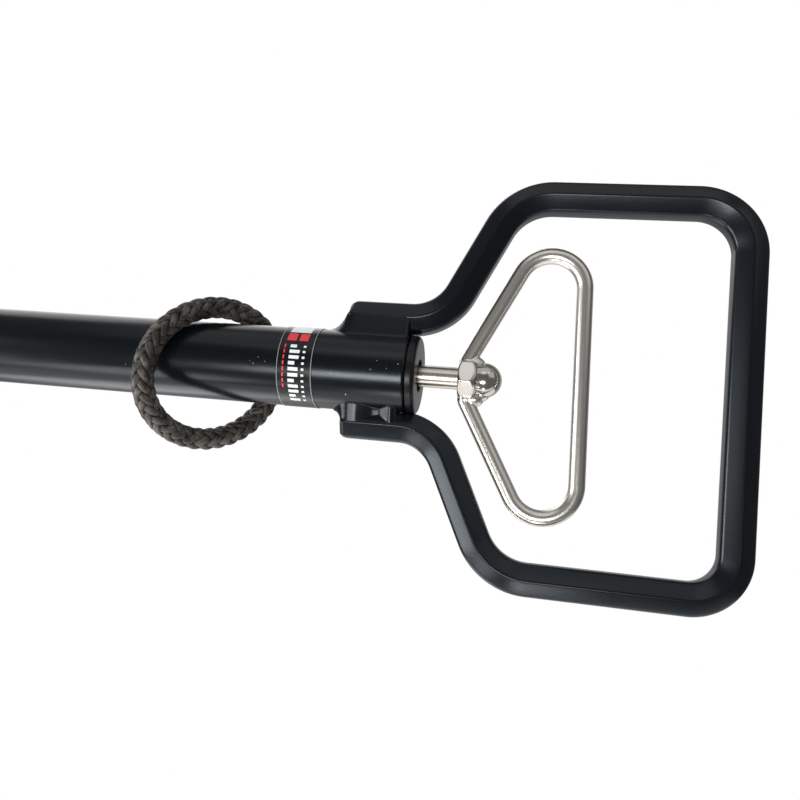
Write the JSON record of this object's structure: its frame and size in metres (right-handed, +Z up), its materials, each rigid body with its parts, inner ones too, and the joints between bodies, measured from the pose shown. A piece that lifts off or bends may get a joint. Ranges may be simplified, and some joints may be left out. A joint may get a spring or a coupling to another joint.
{
  "type": "tuna landing clamp",
  "caption": "Tube with a D-shaped handle whose trigger pulls a rod that opens toothed jaws at the far end; a rope ring hangs on the tube.",
  "frame": {"origin": "middle of the grip bar's outer flat, where the palm bears", "axes": "+X out of the grip along the tube's axis, away from the jaws; +Z up in the handle's plane; +Y across the handle, away from the picture's viewer"},
  "size_m": [1, 0.0512, 0.1506],
  "materials": {
    "main_tube": "satin powder coat",
    "handle_frame": "satin powder coat",
    "end_plug": "matt",
    "pull_rod": "polished stainless steel",
    "dome_nut": "polished stainless steel",
    "trigger_loop": "polished stainless steel",
    "label_sleeve": "gloss film",
    "rope_ring": "braided rope",
    "rod_guide_bush": "matt",
    "spring_seat": "brushed stainless steel",
    "return_spring": "spring steel",
    "spring_collar": "brushed stainless steel",
    "collar_pin": "spring steel",
    "head_socket": "brushed stainless steel",
    "head_guide_bush": "matt",
    "head_set_screw_top": "brushed stainless steel",
    "head_set_screw_bottom": "brushed stainless steel",
    "cheek_plate_near": "brushed stainless steel",
    "cheek_plate_far": "brushed stainless steel",
    "cheek_screw_near_upper": "brushed stainless steel",
    "cheek_screw_near_lower": "brushed stainless steel",
    "cheek_screw_far_upper": "brushed stainless steel",
    "cheek_screw_far_lower": "brushed stainless steel",
    "crosshead_yoke": "brushed stainless steel",
    "rod_lock_nut": "polished stainless steel",
    "crosshead_pin": "polished stainless steel",
    "upper_jaw": "brushed stainless steel",
    "lower_jaw": "brushed stainless steel",
    "upper_bite_plate": "brushed stainless steel",
    "lower_bite_plate": "brushed stainless steel",
    "pivot_pin_upper": "polished stainless steel",
    "pivot_pin_lower": "polished stainless steel",
    "pivot_clip_upper": "spring steel",
    "pivot_clip_lower": "spring steel",
    "pivot_spacer_upper_near": "matt",
    "pivot_spacer_upper_far": "matt",
    "pivot_spacer_lower_near": "matt",
    "pivot_spacer_lower_far": "matt"
  },
  "bodies": {
    "frame": {"main_tube": "main_tube", "handle_frame": "handle_frame", "end_plug": "end_plug", "label_sleeve": "label_sleeve", "rod_guide_bush": "rod_guide_bush", "spring_seat": "spring_seat", "return_spring": "return_spring", "head_socket": "head_socket", "head_guide_bush": "head_guide_bush", "head_set_screw_top": "head_set_screw_top", "head_set_screw_bottom": "head_set_screw_bottom", "cheek_plate_near": "cheek_plate_near", "cheek_plate_far": "cheek_plate_far", "cheek_screw_near_upper": "cheek_screw_near_upper", "cheek_screw_near_lower": "cheek_screw_near_lower", "cheek_screw_far_upper": "cheek_screw_far_upper", "cheek_screw_far_lower": "cheek_screw_far_lower", "pivot_pin_upper": "pivot_pin_upper", "pivot_pin_lower": "pivot_pin_lower", "pivot_clip_upper": "pivot_clip_upper", "pivot_clip_lower": "pivot_clip_lower", "pivot_spacer_upper_near": "pivot_spacer_upper_near", "pivot_spacer_upper_far": "pivot_spacer_upper_far", "pivot_spacer_lower_near": "pivot_spacer_lower_near", "pivot_spacer_lower_far": "pivot_spacer_lower_far"},
    "pull": {"pull_rod": "pull_rod", "dome_nut": "dome_nut", "trigger_loop": "trigger_loop", "spring_collar": "spring_collar", "collar_pin": "collar_pin", "crosshead_yoke": "crosshead_yoke", "rod_lock_nut": "rod_lock_nut", "crosshead_pin": "crosshead_pin"},
    "upper_jaw_body": {"upper_jaw": "upper_jaw", "upper_bite_plate": "upper_bite_plate"},
    "lower_jaw_body": {"lower_jaw": "lower_jaw", "lower_bite_plate": "lower_bite_plate"},
    "ring": {"rope_ring": "rope_ring"}
  },
  "joints": [
    {"name": "trigger_pull", "type": "slide", "parent": "frame", "child": "pull", "axis": [1, 0, 0], "range_m": [0, 0.025], "stiffness_N_per_m": 1200, "springref_m": -0.04, "deforming": ["return_spring"]},
    {"name": "upper_jaw_swing", "type": "hinge", "parent": "frame", "child": "upper_jaw_body", "pos_m": [-0.903, 0, 0.011], "axis": [0, 1, 0], "range_deg": [0, 25]},
    {"name": "lower_jaw_swing", "type": "hinge", "parent": "frame", "child": "lower_jaw_body", "pos_m": [-0.903, 0, -0.011], "axis": [0, -1, 0], "range_deg": [0, 25]},
    {"name": "rope_ring_slide", "type": "slide", "parent": "frame", "child": "ring", "axis": [1, 0, 0], "range_m": [-0.54, 0.012]}
  ],
  "couplings": [
    {"joint": "upper_jaw_swing", "follows": "trigger_pull", "rad_per_m": 17.453},
    {"joint": "lower_jaw_swing", "follows": "trigger_pull", "rad_per_m": 17.453}
  ]
}
